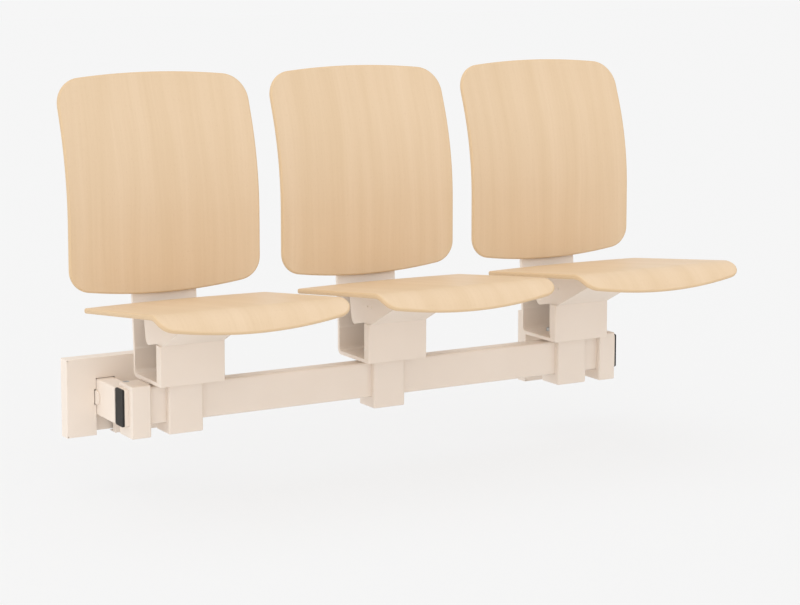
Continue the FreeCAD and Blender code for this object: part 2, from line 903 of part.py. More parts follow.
def panel_insert(point, inward):
    """Threaded insert from a panel's face along a direction into the panel."""
    body = rod(insert_radius, point, point + inward * insert_length)
    beyond = point + inward * (insert_length + past)
    return body.cut(rod(screw_radius + thread_clearance, point - inward * past, beyond))


def panel_screw(point, inward, plate):
    """Screw through a plate of a given thickness into an insert."""
    seat = point - inward * plate
    shank = rod(screw_radius, seat, point + inward * screw_grip)
    head = rod(screw_head_radius, seat - inward * screw_head, seat)
    return shank.fuse(head).removeSplitter()


def carrier_outline():
    """Side view of the carrier's outside as forward and Z, and its corner radii."""
    front_low = carrier_lip_rise + carrier_front_slope * (carrier_front - carrier_lip_front)
    points = [
        unit(carrier_rear_top, seat_under(carrier_rear_top)),
        unit(carrier_rear_bottom, carrier_bottom_rise),
        unit(carrier_lip_rear, carrier_lip_rise),
        unit(carrier_lip_front, carrier_lip_rise),
        unit(carrier_front, front_low),
        unit(carrier_front, seat_under(carrier_front)),
    ]
    return points, [0.0, carrier_corner, 0.0, 0.0, 0.0, 0.0]


def seat_carrier():
    points, radii = carrier_outline()
    body = profile(points, radii, -carrier_half, carrier_half)
    face = outline([vec(-carrier_inside, forward, z) for forward, z in points], radii)
    inner_wire = face.OuterWire.makeOffset2D(-carrier_sheet)
    body = body.cut(Part.Face(inner_wire).extrude(FreeCAD.Vector(2 * carrier_inside, 0, 0)))
    behind = 2 * carrier_rear_top
    bottom = post_base
    flange_low = post_base + carrier_flange_bottom
    flange_high = post_base + carrier_flange_top
    flange_edge = carrier_inside - carrier_flange_width
    tools = [
        block(-carrier_inside, carrier_inside, behind, carrier_lip_rear, bottom, flange_low),
        block(-flange_edge, flange_edge, behind, 0.0, bottom, flange_high),
    ]
    body = cut_all(body, tools)
    for side in both_sides:
        tab = block(
            side * (carrier_inside - tab_thickness),
            side * carrier_inside,
            tab_forward - tab_length / 2,
            tab_forward + tab_length / 2,
            post_base + tab_rise - tab_height / 2,
            post_base + tab_rise + tab_height / 2,
        )
        body = body.fuse(tab)
    body = body.removeSplitter()
    holes = []
    for point in seat_screw_points():
        start = point - seat_normal() * (carrier_sheet + past)
        holes.append(rod(screw_radius + bolt_clearance, start, point + seat_normal() * past))
    for side, start, end in rivet_lines():
        holes.append(rod(rivet_radius + thread_clearance, start, end))
    return cut_all(body, holes)


def rivet_lines():
    """Side, inner end and outer end of each rivet's hole through tab and cheek."""
    lines = []
    for side in both_sides:
        for step in both_sides:
            forward = tab_forward + step * rivet_spacing / 2
            inner = vec(side * (carrier_inside - tab_thickness), forward, post_base + tab_rise)
            lines.append((side, inner, vec(side * carrier_half, forward, post_base + tab_rise)))
    return lines


def carrier_rivet(side, inner, outer):
    along = FreeCAD.Vector(side, 0, 0)
    head = rod(rivet_head_radius, outer, outer + along * rivet_head)
    tail = rod(rivet_head_radius, inner - along * rivet_head, inner)
    return rod(rivet_radius, inner, outer).fuse(head).fuse(tail).removeSplitter()


# Back panel
back_rear_face = -post_rear - post_lean + post_plate + panel_clearance


def back_screw_points():
    """Places of a back's screws as X and rise."""
    return [(side * back_screw_spacing / 2, rise) for side in both_sides for rise in back_screw_rises]


def back_line(offset, turn):
    """Point on the bent part of the back, at an offset in front of its rear face."""
    centre_forward = back_rear_face + back_thickness / 2 - back_bend_radius
    radius = back_bend_radius - back_thickness / 2 + offset
    forward = centre_forward + radius * math.cos(turn)
    return vec(0.0, forward, post_base + back_bend_start + radius * math.sin(turn))


def back_sheet():
    """Bent and hollowed sheet of the back before its outline is cut."""
    turn = math.asin((back_bend_end - back_bend_start) / back_bend_radius)
    climb = back_top - back_bend_end + back_top_corner
    run = climb / math.cos(turn)
    onward = FreeCAD.Vector(0, math.sin(turn), math.cos(turn)) * run
    front_face = back_rear_face + back_thickness
    low = post_base + back_bottom - past
    rear_low = vec(0.0, back_rear_face, low)
    front_low = vec(0.0, front_face, low)
    rear_end = back_line(0.0, turn)
    front_end = back_line(back_thickness, turn)
    rear_arc = Part.Arc(back_line(0.0, 0.0), back_line(0.0, turn / 2), rear_end)
    front_arc = Part.Arc(front_end, back_line(back_thickness, turn / 2), back_line(back_thickness, 0.0))
    edges = [
        Part.makeLine(rear_low, back_line(0.0, 0.0)),
        rear_arc.toShape(),
        Part.makeLine(rear_end, rear_end + onward),
        Part.makeLine(rear_end + onward, front_end + onward),
        Part.makeLine(front_end + onward, front_end),
        front_arc.toShape(),
        Part.makeLine(back_line(back_thickness, 0.0), front_low),
        Part.makeLine(front_low, rear_low),
    ]
    section = Part.Face(Part.Wire(edges))
    axis = vec(0.0, back_rear_face + back_hollow_radius, 0.0)
    swing = math.degrees(math.asin(back_width / 2 / (back_hollow_radius - back_thickness))) + past
    upward = FreeCAD.Vector(0, 0, 1)
    section.rotate(axis, upward, -swing)
    return section.revolve(axis, upward, 2 * swing)


def back_plan():
    """Block with the back's outline from the front."""
    half = back_width / 2
    side_low = post_base + back_bottom + back_bottom_crown
    side_top = post_base + back_top - back_top_crown
    rear = forward_of_wall(-past)
    left_low = vec(-half, rear, side_low)
    right_low = vec(half, rear, side_low)
    left_top = vec(-half, rear, side_top)
    right_top = vec(half, rear, side_top)
    bottom = Part.Arc(left_low, vec(0.0, rear, post_base + back_bottom), right_low)
    crown = Part.Arc(right_top, vec(0.0, rear, post_base + back_top), left_top)
    edges = [
        bottom.toShape(),
        Part.makeLine(right_low, right_top),
        crown.toShape(),
        Part.makeLine(left_top, left_low),
    ]
    body = Part.Face(Part.Wire(edges)).extrude(FreeCAD.Vector(0, -wall_to_beam, 0))
    across = [edge for edge in body.Edges if abs(edge.Vertexes[0].Y - edge.Vertexes[-1].Y) > past]
    middle = post_base + (back_bottom + back_top) / 2
    body = body.makeFillet(back_bottom_corner, [edge for edge in across if edge.Vertexes[0].Z < middle])
    across = [edge for edge in body.Edges if abs(edge.Vertexes[0].Y - edge.Vertexes[-1].Y) > past]
    top_edges = [
        edge
        for edge in across
        if edge.Vertexes[0].Z > middle and abs(abs(edge.Vertexes[0].X) - half) < past / 10
    ]
    return body.makeFillet(back_top_corner, top_edges)


def back_insert_start(x, rise):
    """Point on the back's rear face at a screw."""
    hollow = back_hollow_radius - math.sqrt(back_hollow_radius**2 - x**2)
    return vec(x, back_rear_face + hollow, post_base + rise)


inward_to_back = FreeCAD.Vector(0, -1, 0)


def back_panel():
    body = back_sheet().common(back_plan())
    holes = []
    for x, rise in back_screw_points():
        point = back_insert_start(x, rise)
        end = point + inward_to_back * (insert_length + hole_end_clearance)
        holes.append(rod(insert_radius + thread_clearance, point - inward_to_back * past, end))
    return cut_all(body, holes)


def back_screw(x, rise):
    point = back_insert_start(x, rise)
    plate = point.y - vec(0.0, -post_rear - post_lean, 0.0).y
    return panel_screw(point, inward_to_back, abs(plate))


# Export
def write(name, shapes):
    """Write one node's solids to its own file."""
    solids = [solid for shape in shapes for solid in shape.Solids]
    shape = solids[0] if len(solids) == 1 else Part.makeCompound(solids)
    shape.exportStep(os.path.join("parts", name + ".step"))


def write_frame():
    """Write the beam and everything that holds it on the wall."""
    write("beam_tube", [beam_tube()])
    write("end_plugs", [to_side(end_plug(), side) for side in both_sides])
    strap_bolts = (strap_top_bolt(), strap_low_bolt())
    write("strap_bolts", [to_side(bolt, side) for bolt in strap_bolts for side in both_sides])
    write("arm_cross_bolts", [to_side(cross_bolt(), side) for side in both_sides])
    write("arm_cross_nuts", [to_side(cross_bolt_nut(), side) for side in both_sides])
    write("cover_screws", [to_side(cover_screw(x), side) for x in lug_middles() for side in both_sides])
    for label, side in (("left", -1.0), ("right", 1.0)):
        write("end_strap_" + label, [to_side(end_strap(), side)])
        write("wall_arm_" + label, [to_side(wall_arm(), side)])
        write("wall_plate_" + label, [to_side(wall_plate(), side)])
        write("wall_cover_" + label, [to_side(wall_cover(), side)])


def write_seats():
    """Write every seat unit and the fastener groups shared by all of them."""
    seat_inserts = [panel_insert(point, seat_normal()) for point in seat_screw_points()]
    seat_screws = [panel_screw(point, seat_normal(), carrier_sheet) for point in seat_screw_points()]
    own_pieces = {
        "seat_post": [seat_post()],
        "front_tray": [front_tray()],
        "hinge_stand": [hinge_stand()],
        "clamp_saddle": [clamp_saddle()],
        "clamp_plate": [clamp_plate()],
        "back_panel": [back_panel()],
        "seat_panel": [seat_panel()],
        "seat_carrier": [seat_carrier()],
        "seat_inserts": seat_inserts,
        "seat_screws": seat_screws,
        "carrier_rivets": [carrier_rivet(*line) for line in rivet_lines()],
        "hinge_bosses": [hinge_boss(side) for side in both_sides],
        "hinge_bushes": [hinge_bush(side) for side in both_sides],
    }
    shared_pieces = {
        "clamp_bolts": [clamp_bolt(x, forward) for x, forward in clamp_bolt_points()],
        "hinge_bolts": [hinge_bolt(side) for side in both_sides],
        "rest_buffers": [rest_buffer(side) for side in both_sides],
        "raised_buffers": [raised_buffer()],
        "back_inserts": [
            panel_insert(back_insert_start(x, rise), inward_to_back) for x, rise in back_screw_points()
        ],
        "back_screws": [back_screw(x, rise) for x, rise in back_screw_points()],
    }
    for label, x in zip(seat_names, seat_middles):
        for name, shapes in own_pieces.items():
            write(name + "_" + label, [moved(shape, x) for shape in shapes])
    for name, shapes in shared_pieces.items():
        write(name, [moved(shape, x) for x in seat_middles for shape in shapes])


os.makedirs("parts", exist_ok=True)
write_frame()
write_seats()
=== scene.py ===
import logging
import math
from dataclasses import dataclass, field
from enum import Enum
from typing import ClassVar

import bmesh
import bpy
from mathutils import Matrix, Vector


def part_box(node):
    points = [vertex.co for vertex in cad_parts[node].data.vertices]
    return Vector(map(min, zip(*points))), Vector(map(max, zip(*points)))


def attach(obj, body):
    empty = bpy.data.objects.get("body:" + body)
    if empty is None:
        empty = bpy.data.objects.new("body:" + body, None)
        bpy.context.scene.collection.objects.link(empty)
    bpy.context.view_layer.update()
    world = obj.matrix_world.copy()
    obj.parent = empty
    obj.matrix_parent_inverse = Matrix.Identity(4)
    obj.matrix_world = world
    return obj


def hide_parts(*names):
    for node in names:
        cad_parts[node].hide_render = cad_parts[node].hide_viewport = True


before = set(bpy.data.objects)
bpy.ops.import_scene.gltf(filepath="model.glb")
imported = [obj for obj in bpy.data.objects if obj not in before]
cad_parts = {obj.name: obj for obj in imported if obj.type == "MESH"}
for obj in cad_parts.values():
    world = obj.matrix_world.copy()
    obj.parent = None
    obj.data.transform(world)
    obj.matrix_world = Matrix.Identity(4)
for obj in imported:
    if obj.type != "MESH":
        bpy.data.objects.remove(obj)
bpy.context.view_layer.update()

LOG = logging.getLogger("beam_seat")
MM = 0.001
# The thickness of every plywood panel.
PLY_DEPTH = 11 * MM
# The mesh attribute with each point's place on the flat sheet, before it was moulded.
SHEET = "sheet"

Socket = bpy.types.NodeSocket
Tree = bpy.types.NodeTree
# Points of a line on a sheet, as distances across and along it.
Line = list[tuple[float, float]]


class Seat(Enum):
    """Places on the beam, with the value as the ending of each node's name."""

    LEFT = "left"
    MIDDLE = "middle"
    RIGHT = "right"


class Slot(Enum):
    """Material slots of the record."""

    WOOD = "beech_plywood"
    COAT = "beige_powder_coat"
    PLASTIC = "black_plastic"
    NYLON = "pale_nylon"
    ZINC = "zinc_steel"
    BRASS = "brass_insert"
    RUBBER = "black_rubber"


def linear(colour: str) -> tuple[float, float, float, float]:
    """Turn an sRGB hex colour into a linear one.

    Args:
        colour: a hash sign and six hex digits.

    Returns:
        Linear red, green and blue, with an alpha of 1.
    """
    parts = [int(colour[start:start + 2], 16) / 255 for start in (1, 3, 5)]
    red, green, blue = [p / 12.92 if p <= 0.04045 else ((p + 0.055) / 1.055) ** 2.4 for p in parts]
    return red, green, blue, 1.0


def add_node(
    tree: Tree,
    kind: str,
    settings: dict | None = None,
    links: dict | None = None,
) -> bpy.types.Node:
    """Add a node with its settings and links.

    Args:
        tree: the node tree that gets the node.
        kind: Blender's name of the node's type.
        settings: values by property name, or by input name or number.
        links: output sockets by input name or number.

    Returns:
        The new node.
    """
    node = tree.nodes.new(kind)
    for key, value in (settings or {}).items():
        if isinstance(key, str) and hasattr(node, key):
            setattr(node, key, value)
        else:
            node.inputs[key].default_value = value
    for key, socket in (links or {}).items():
        tree.links.new(socket, node.inputs[key])
    return node


@dataclass(frozen=True)
class Finish:
    """A surface finish, which becomes one material."""

    name: str
    colour: str
    roughness: float
    metallic: float = 0.0

    def material(self) -> bpy.types.Material:
        """Make the finish's material at its first use.

        Returns:
            The material, shared by every piece with this finish.
        """
        made = bpy.data.materials.get(self.name)
        if made is not None:
            return made
        made = bpy.data.materials.new(self.name)
        made.use_nodes = True
        tree = made.node_tree
        tree.nodes.clear()
        settings = {
            "Base Color": linear(self.colour),
            "Roughness": self.roughness,
            "Metallic": self.metallic,
        }
        shader = add_node(tree, "ShaderNodeBsdfPrincipled", settings)
        add_node(tree, "ShaderNodeOutputMaterial", links={"Surface": shader.outputs["BSDF"]})
        self.pattern(tree, shader)
        return made

    def pattern(self, tree: Tree, shader: bpy.types.Node) -> None:
        """Add the finish's own pattern to its shader.

        Args:
            tree: the material's node tree.
            shader: the shader that takes the pattern.
        """
        raise NotImplementedError

    def mottle(self, tree: Tree, place: Socket, sizes: tuple[float, float, float], detail: float) -> Socket:
        """Add an uneven tone whose grains have a given size.

        Args:
            tree: the material's node tree.
            place: the coordinates in metres.
            sizes: a grain's size along each axis in metres.
            detail: how many finer layers it has.

        Returns:
            The tone's value, about 0.5 on average.
        """
        scale = tuple(1 / size for size in sizes)
        spread = add_node(tree, "ShaderNodeMapping", {"Scale": scale}, {"Vector": place})
        grain = add_node(
            tree,
            "ShaderNodeTexNoise",
            {"Scale": 1.0, "Detail": detail},
            {"Vector": spread.outputs["Vector"]},
        )
        return grain.outputs["Fac"]


@dataclass(frozen=True)
class BeechVeneer(Finish):
    """Rotary-cut beech veneer under satin lacquer: pale, with soft streaks and short flecks."""

    light: str = "#E3C9A9"
    dark: str = "#DBBF9B"
    fleck: str = "#BE966D"
    band: tuple[float, float, float] = (38 * MM, 900 * MM, 1.0)
    streak: tuple[float, float, float] = (5 * MM, 260 * MM, 1.0)
    # Real flecks are a third of this size; they are drawn this coarse so that they show at a step away.
    flecks: tuple[float, float, float] = (1.2 * MM, 9 * MM, 1.0)
    wander: tuple[float, float, float] = (160 * MM, 320 * MM, 1.0)
    wander_reach: float = 22 * MM
    streak_share: float = 0.3
    tone_places: tuple[float, float, float] = (0.3, 0.5, 0.7)
    fleck_range: tuple[float, float] = (0.66, 0.8)
    fleck_share: float = 0.14
    sheen_spread: float = 0.06
    relief_depth: float = 0.04 * MM

    def pattern(self, tree: Tree, shader: bpy.types.Node) -> None:
        """Add bands, streaks and flecks that follow the sheet round its bends.

        Args:
            tree: the material's node tree.
            shader: the shader that takes the pattern.
        """
        sheet = add_node(tree, "ShaderNodeAttribute", {"attribute_name": SHEET}).outputs["Vector"]
        drift = self.mottle(tree, sheet, self.wander, detail=1.0)
        reach = add_node(
            tree,
            "ShaderNodeMath",
            {"operation": "MULTIPLY", 1: self.wander_reach},
            {0: drift},
        ).outputs[0]
        aside = add_node(tree, "ShaderNodeCombineXYZ", links={"X": reach})
        grain = add_node(
            tree,
            "ShaderNodeVectorMath",
            {"operation": "ADD"},
            {0: sheet, 1: aside.outputs[0]},
        ).outputs[0]
        bands = self.mottle(tree, grain, self.band, detail=2.0)
        streaks = self.mottle(tree, grain, self.streak, detail=2.0)
        blend = add_node(
            tree,
            "ShaderNodeMix",
            {"data_type": "FLOAT", 0: self.streak_share},
            {2: bands, 3: streaks},
        ).outputs[0]
        tone = add_node(tree, "ShaderNodeValToRGB", links={"Fac": blend})
        ramp = tone.color_ramp.elements
        low, middle, high = self.tone_places
        ramp[0].position, ramp[0].color = low, linear(self.dark)
        ramp[1].position, ramp[1].color = high, linear(self.light)
        ramp.new(middle).color = linear(self.colour)
        dashes = self.mottle(tree, grain, self.flecks, detail=0.0)
        start, full = self.fleck_range
        marks = add_node(
            tree,
            "ShaderNodeMapRange",
            {"From Min": start, "From Max": full, "To Max": self.fleck_share},
            {"Value": dashes},
        ).outputs[0]
        colour = add_node(
            tree,
            "ShaderNodeMix",
            {"data_type": "RGBA", 7: linear(self.fleck)},
            {0: marks, 6: tone.outputs["Color"]},
        )
        tree.links.new(colour.outputs[2], shader.inputs["Base Color"])
        sheen = add_node(
            tree,
            "ShaderNodeMapRange",
            {"To Min": self.roughness - self.sheen_spread, "To Max": self.roughness + self.sheen_spread},
            {"Value": streaks},
        )
        tree.links.new(sheen.outputs[0], shader.inputs["Roughness"])
        bump = add_node(tree, "ShaderNodeBump", {"Distance": self.relief_depth}, {"Height": streaks})
        tree.links.new(bump.outputs["Normal"], shader.inputs["Normal"])


@dataclass(frozen=True)
class PlyEdge(Finish):
    """Sanded and lacquered edge of beech plywood: thin plies, every second one darker end grain."""

    cross: str = "#D8BA92"
    glue: str = "#CDAC83"
    sheet_depth: float = PLY_DEPTH
    ply_count: int = 9
    glue_share: float = 0.08
    fibres: tuple[float, float, float] = (6 * MM, 6 * MM, 0.5 * MM)
    fibre_range: tuple[float, float] = (0.35, 0.75)
    fibre_share: float = 0.35

    def pattern(self, tree: Tree, shader: bpy.types.Node) -> None:
        """Add plies that lie at even depths under the panel's face.

        Args:
            tree: the material's node tree.
            shader: the shader that takes the pattern.
        """
        sheet = add_node(tree, "ShaderNodeAttribute", {"attribute_name": SHEET}).outputs["Vector"]
        depth = add_node(tree, "ShaderNodeSeparateXYZ", links={0: sheet}).outputs["Z"]
        pairs = add_node(
            tree,
            "ShaderNodeMath",
            {"operation": "DIVIDE", 1: 2 * self.sheet_depth / self.ply_count},
            {0: depth},
        ).outputs[0]
        phase = add_node(tree, "ShaderNodeMath", {"operation": "FRACT"}, {0: pairs}).outputs[0]
        plies = add_node(tree, "ShaderNodeValToRGB", links={"Fac": phase})
        ramp = plies.color_ramp.elements
        ramp[0].position, ramp[0].color = 0.0, linear(self.colour)
        ramp[1].position, ramp[1].color = 1.0, linear(self.glue)
        for position, colour in (
            (0.5 - self.glue_share, self.colour),
            (0.5, self.glue),
            (0.5 + self.glue_share, self.cross),
            (1.0 - self.glue_share, self.cross),
        ):
            ramp.new(position).color = linear(colour)
        fibres = self.mottle(tree, sheet, self.fibres, detail=2.0)
        start, full = self.fibre_range
        share = add_node(
            tree,
            "ShaderNodeMapRange",
            {"From Min": start, "From Max": full, "To Max": self.fibre_share},
            {"Value": fibres},
        ).outputs[0]
        colour = add_node(
            tree,
            "ShaderNodeMix",
            {"data_type": "RGBA", 7: linear(self.colour)},
            {0: share, 6: plies.outputs["Color"]},
        )
        tree.links.new(colour.outputs[2], shader.inputs["Base Color"])


@dataclass(frozen=True)
class Speckled(Finish):
    """A finish of one tone with a fine relief: coated, moulded or plated."""

    tone: str = "#000000"
    patch: float = 70 * MM
    grain: float = 2.5 * MM
    grain_depth: float = 0.03 * MM
    gloss_spread: float = 0.04

    def pattern(self, tree: Tree, shader: bpy.types.Node) -> None:
        """Add a faint change of tone and gloss, and the relief of the grain.

        Args:
            tree: the material's node tree.
            shader: the shader that takes the pattern.
        """
        place = add_node(tree, "ShaderNodeTexCoord").outputs["Object"]
        patches = self.mottle(tree, place, (self.patch,) * 3, detail=2.0)
        colour = add_node(
            tree,
            "ShaderNodeMix",
            {"data_type": "RGBA", 6: linear(self.colour), 7: linear(self.tone)},
            {0: patches},
        )
        tree.links.new(colour.outputs[2], shader.inputs["Base Color"])
        grains = self.mottle(tree, place, (self.grain,) * 3, detail=1.0)
        gloss = add_node(
            tree,
            "ShaderNodeMapRange",
            {"To Min": self.roughness - self.gloss_spread, "To Max": self.roughness + self.gloss_spread},
            {"Value": grains},
        )
        tree.links.new(gloss.outputs[0], shader.inputs["Roughness"])
        bump = add_node(tree, "ShaderNodeBump", {"Distance": self.grain_depth}, {"Height": grains})
        tree.links.new(bump.outputs["Normal"], shader.inputs["Normal"])


# Lacquer fills the veneer's pores, so the face is smooth with a soft sheen.
VENEER = BeechVeneer("beech_veneer_satin_lacquer", "#DFC4A2", 0.46)
# Sanding leaves the edge a little rougher and darker than the face.
EDGE = PlyEdge("beech_ply_sanded_edge", "#DDC09A", 0.55)
# Powder melts to a matt skin with a fine peel, which is drawn coarser than its real half millimetre.
COAT = Speckled("steel_fine_powder_coat", "#F1E5D9", 0.55, tone="#EEE1D4")
# Spark-eroded moulds leave plastic caps with a dull, even grain.
PLASTIC = Speckled("polypropylene_moulded_black", "#222120", 0.62, tone="#1D1C1B", grain=1.2 * MM)
# Natural nylon is milky and slightly waxy.
NYLON = Speckled("polyamide_moulded_natural", "#E6DFCC", 0.42, tone="#DDD5C0", grain=1.5 * MM)
# Bright zinc plate is a clear metal with faint cloudy patches.
ZINC = Speckled("steel_bright_zinc_plate", "#C8CBCE", 0.3, 1.0, tone="#BDBFC0", patch=6 * MM, grain=1 * MM)
# Turned brass keeps fine tool marks under a warm shine.
BRASS = Speckled("brass_turned", "#C9A35C", 0.34, 1.0, tone="#BF9850", patch=5 * MM, grain=1 * MM)
# Moulded rubber is matt and nearly black.
RUBBER = Speckled("rubber_moulded_black", "#2B2A29", 0.78, tone="#252423", grain=1.2 * MM)

FINISHES = {
    Slot.WOOD: VENEER,
    Slot.COAT: COAT,
    Slot.PLASTIC: PLASTIC,
    Slot.NYLON: NYLON,
    Slot.ZINC: ZINC,
    Slot.BRASS: BRASS,
    Slot.RUBBER: RUBBER,
}


def add_object(name: str, mesh: bpy.types.Mesh) -> bpy.types.Object:
    """Put a mesh in the scene.

    Args:
        name: the piece's name.
        mesh: its mesh, in the shared frame.

    Returns:
        The new object.
    """
    made = bpy.data.objects.new(name, mesh)
    bpy.context.scene.collection.objects.link(made)
    return made


@dataclass(frozen=True)
class BentSheet:
    """Side view of a moulded sheet: a straight run, an arc away from its face and a straight run.

    The side view's first axis points out from the wall and its second one up. The face is the arc's outside.
    """

    start: Vector
    heading: float
    face_side: float
    first_run: float
    radius: float
    turn: float

    @property
    def arc(self) -> float:
        """Length of the arc on the face."""
        return self.radius * self.turn

    def normal(self, angle: float) -> Vector:
        """Direction out of the face where the sheet runs at an angle."""
        out = angle + self.face_side * math.pi / 2
        return Vector((math.cos(out), math.sin(out)))

    def at(self, along: float, depth: float) -> Vector:
        """Find a point of the sheet.

        Args:
            along: length on the face from the start.
            depth: distance under the face.

        Returns:
            The point in the side view.
        """
        straight = min(along, self.first_run)
        bent = min(max(along - self.first_run, 0.0), self.arc)
        beyond = max(along - self.first_run - self.arc, 0.0)
        angle = self.heading - self.face_side * bent / self.radius
        point = self.start + straight * Vector((math.cos(self.heading), math.sin(self.heading)))
        point += self.radius * (self.normal(angle) - self.normal(self.heading))
        point += beyond * Vector((math.cos(angle), math.sin(angle)))
        return point - depth * self.normal(angle)


def end_curve(half: float, bow: float, corner: float) -> Line:
    """Draw half of one end of a panel, from its middle line to its straight side.

    Args:
        half: half of the panel's width.
        bow: how far the end's middle stands out past its sides.
        corner: radius of the corner.

    Returns:
        Each point's distance from the middle line and from the end's middle.
    """
    bow_steps = 26
    corner_steps = 12
    corner_x = half - corner
    radius = (half**2 + bow**2) / (2 * bow)
    corner_back = radius - math.sqrt((radius - corner) ** 2 - corner_x**2)
    first = math.atan2(corner_x, radius - corner_back)
    points = []
    for step in range(bow_steps):
        angle = first * step / bow_steps
        points.append((radius * math.sin(angle), radius * (1 - math.cos(angle))))
    for step in range(corner_steps + 1):
        angle = first + (math.pi / 2 - first) * step / corner_steps
        points.append((corner_x + corner * math.sin(angle), corner_back - corner * math.cos(angle)))
    return points


@dataclass
class MouldedPanel:
    """A moulded plywood panel with rounded edges, for one seat."""

    seat: Seat
    width: float
    thickness: float = PLY_DEPTH
    arris: float = 4 * MM
    arris_steps: int = 6
    rings: int = 36
    side_step: float = 8 * MM
    rim_gap: float = 0.1
    centre_x: float = field(init=False)
    side_view: BentSheet = field(init=False)

    piece: ClassVar[str] = ""
    node: ClassVar[str] = ""

    @property
    def node_name(self) -> str:
        """Name of the node that the panel stands for."""
        return f"{self.node}_{self.seat.value}"

    @property
    def body(self) -> str:
        """Body that the panel rides on."""
        raise NotImplementedError

    def outline(self) -> Line:
        """Draw the panel's edge on its face, as distances across and along the sheet."""
        raise NotImplementedError

    def place(self, across: float, along: float, depth: float) -> Vector:
        """Find where a point of the sheet lies in the shared frame.

        Args:
            across: distance from the panel's middle line.
            along: length on the face from its low end.
            depth: distance under the face.

        Returns:
            The point in the shared frame.
        """
        raise NotImplementedError

    def closed(self, high: Line, low: Line) -> Line:
        """Join two ends and the sides between them to a loop.

        Args:
            high: half of the far end, from the middle out.
            low: half of the near end, from the middle out.

        Returns:
            The loop's points, across and along.
        """
        side, top = high[-1]
        bottom = low[-1][1]
        count = math.ceil((top - bottom) / self.side_step)
        sides = [(side, top + (bottom - top) * step / count) for step in range(1, count)]
        right = high + sides + low[::-1]
        return right + [(-x, v) for x, v in right[-2:0:-1]]

    def inset(self, loop: Line, distance: float) -> Line:
        """Move a loop inwards.

        Args:
            loop: points of a loop that runs clockwise.
            distance: how far each point moves.

        Returns:
            The moved points.
        """
        moved = []
        for index, (x, v) in enumerate(loop):
            before = Vector(loop[index - 1])
            after = Vector(loop[(index + 1) % len(loop)])
            onward = (after - before).normalized()
            moved.append((x + onward.y * distance, v - onward.x * distance))
        return moved

    def build(self) -> bpy.types.Object:
        """Make the panel's mesh and put it in the scene.

        Returns:
            The new piece.
        """
        edge = self.outline()
        inner = self.inset(edge, self.arris)
        middle = sum(v for _, v in inner) / len(inner)
        scales = [step / self.rings for step in range(1, self.rings)]
        # One more ring lies close to the rounded edge, so that the face shades as flat up to it.
        scales.append(1 - self.rim_gap / self.rings)
        face = [[(x * t, middle + (v - middle) * t) for x, v in inner] for t in scales]
        layers = [(loop, 0.0, 0) for loop in face]
        for step in range(self.arris_steps + 1):
            angle = math.pi / 2 * step / self.arris_steps
            back = self.arris * (1 - math.sin(angle))
            layers.append((self.inset(edge, back), self.arris * (1 - math.cos(angle)), int(step > 0)))
        under = [(loop, self.thickness - depth, kind) for loop, depth, kind in reversed(layers)]
        kinds = [kind for _, _, kind in layers[1:]] + [1] + [kind for _, _, kind in layers[:0:-1]]
        return self.mesh(layers + under, kinds, middle)

    def mesh(
        self,
        layers: list[tuple[Line, float, int]],
        kinds: list[int],
        middle: float,
    ) -> bpy.types.Object:
        """Skin the loops from the face's middle round the edge to the underside's middle.

        Args:
            layers: each loop with its depth under the face and its material number.
            kinds: material number of the faces between each loop and the next.
            middle: place of both middle points along the sheet.

        Returns:
            The new piece.
        """
        sheet = [(x, v, depth) for loop, depth, _ in layers for x, v in loop]
        sheet = [(0.0, middle, 0.0), *sheet, (0.0, middle, self.thickness)]
        count = len(layers[0][0])
        last = len(sheet) - 1
        faces = []
        numbers = []
        for step in range(count):
            beside = (step + 1) % count
            faces.append((0, 1 + beside, 1 + step))
            numbers.append(0)
            for level, kind in enumerate(kinds):
                here = 1 + level * count
                there = here + count
                faces.append((here + step, here + beside, there + beside, there + step))
                numbers.append(kind)
            faces.append((last - count + step, last - count + beside, last))
            numbers.append(0)
        mesh = bpy.data.meshes.new(self.node_name)
        mesh.from_pydata([self.place(*point) for point in sheet], [], faces)
        mesh.polygons.foreach_set("material_index", numbers)
        mesh.polygons.foreach_set("use_smooth", [True] * len(faces))
        # Each panel takes its own part of the veneer log.
        shift = list(Seat).index(self.seat) * 2 * self.width
        stored = mesh.attributes.new(SHEET, "FLOAT_VECTOR", "POINT")
        stored.data.foreach_set("vector", [value for x, v, d in sheet for value in (x + shift, v, d)])
        mesh.update()
        return add_object(f"{self.piece}_{self.seat.value}", mesh)

    def dress(self) -> bpy.types.Object:
        """Build the panel, give it its finishes and hang it on its body.

        Returns:
            The new piece.
        """
        made = self.build()
        made.data.materials.append(VENEER.material())
        made.data.materials.append(EDGE.material())
        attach(made, self.body)
        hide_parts(self.node_name)
        return made


